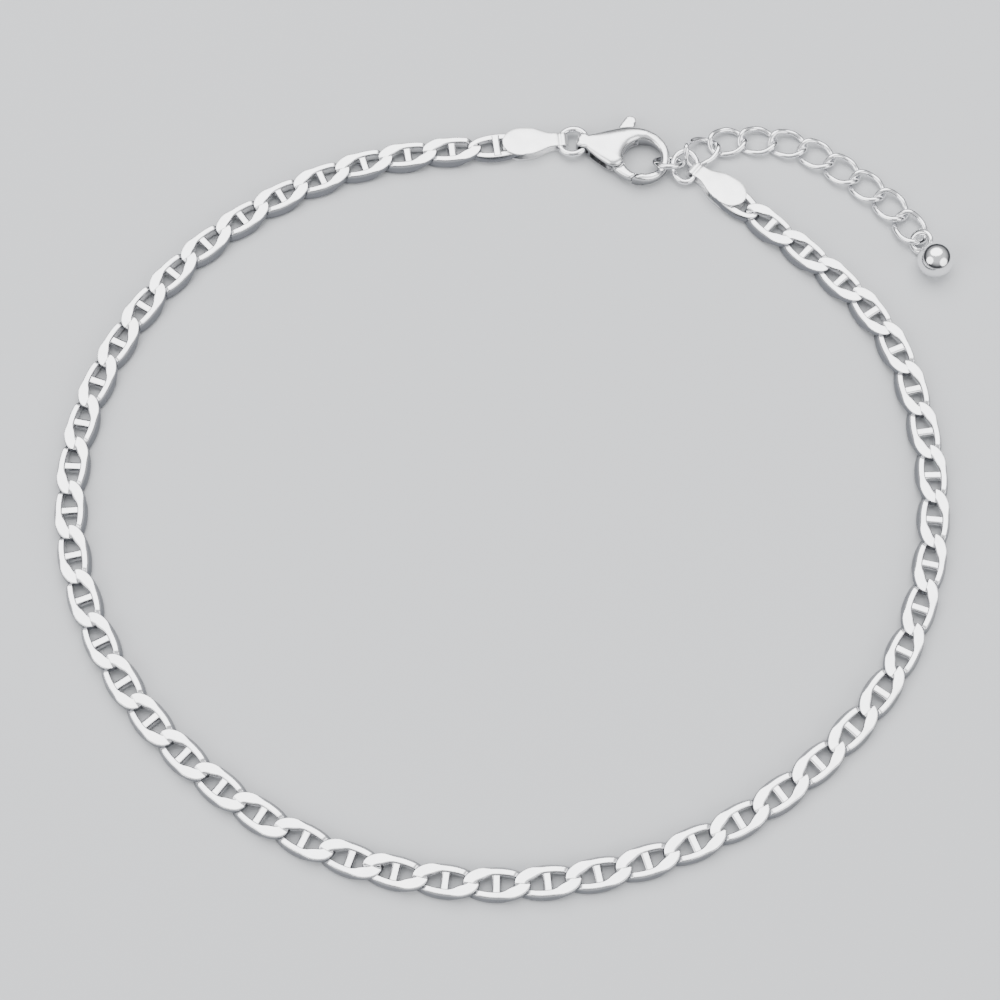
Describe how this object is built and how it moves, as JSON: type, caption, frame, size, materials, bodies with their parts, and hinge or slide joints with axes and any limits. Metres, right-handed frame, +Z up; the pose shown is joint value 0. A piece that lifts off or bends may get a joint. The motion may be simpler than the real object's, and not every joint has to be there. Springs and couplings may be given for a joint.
{
  "type": "chain anklet",
  "caption": "Flat mariner-link chain anklet lying closed, with folded end caps, jump rings, a lobster clasp and a short link extender ending in a ball.",
  "frame": {"origin": "on the table, under the middle of the anklet's bounding box", "axes": "+Z up from the table, +Y towards the clasp, +X towards the side where the extender lies"},
  "size_m": [0.081, 0.074, 0.0033],
  "materials": {
    "chain_silver": "polished silver",
    "clasp_silver": "soft polished silver",
    "cap_silver": "satin silver",
    "wire_silver": "polished silver",
    "ball_silver": "mirror-polished silver"
  },
  "bodies": {
    "anklet": {"clasp_body": "clasp_silver", "ring_clasp": "wire_silver", "end_cap_left": "cap_silver", "ring_middle": "wire_silver", "ring_extender": "wire_silver", "end_cap_right": "cap_silver", "chain_left": "chain_silver", "chain_right": "chain_silver", "extender_link_01": "wire_silver", "extender_link_02": "wire_silver", "extender_link_03": "wire_silver", "extender_link_04": "wire_silver", "extender_link_05": "wire_silver", "extender_link_06": "wire_silver", "extender_link_07": "wire_silver", "extender_link_08": "wire_silver", "extender_link_09": "wire_silver", "end_ball": "ball_silver"},
    "lever": {"clasp_lever": "clasp_silver"}
  },
  "joints": [
    {"name": "clasp_hinge", "type": "hinge", "parent": "anklet", "child": "lever", "pos_m": [0.00953, 0.03261, 0.00095], "axis": [0, 0, 1], "range_deg": [0, 22], "stiffness_Nm_per_rad": 0.002, "springref_deg": -17.19}
  ]
}
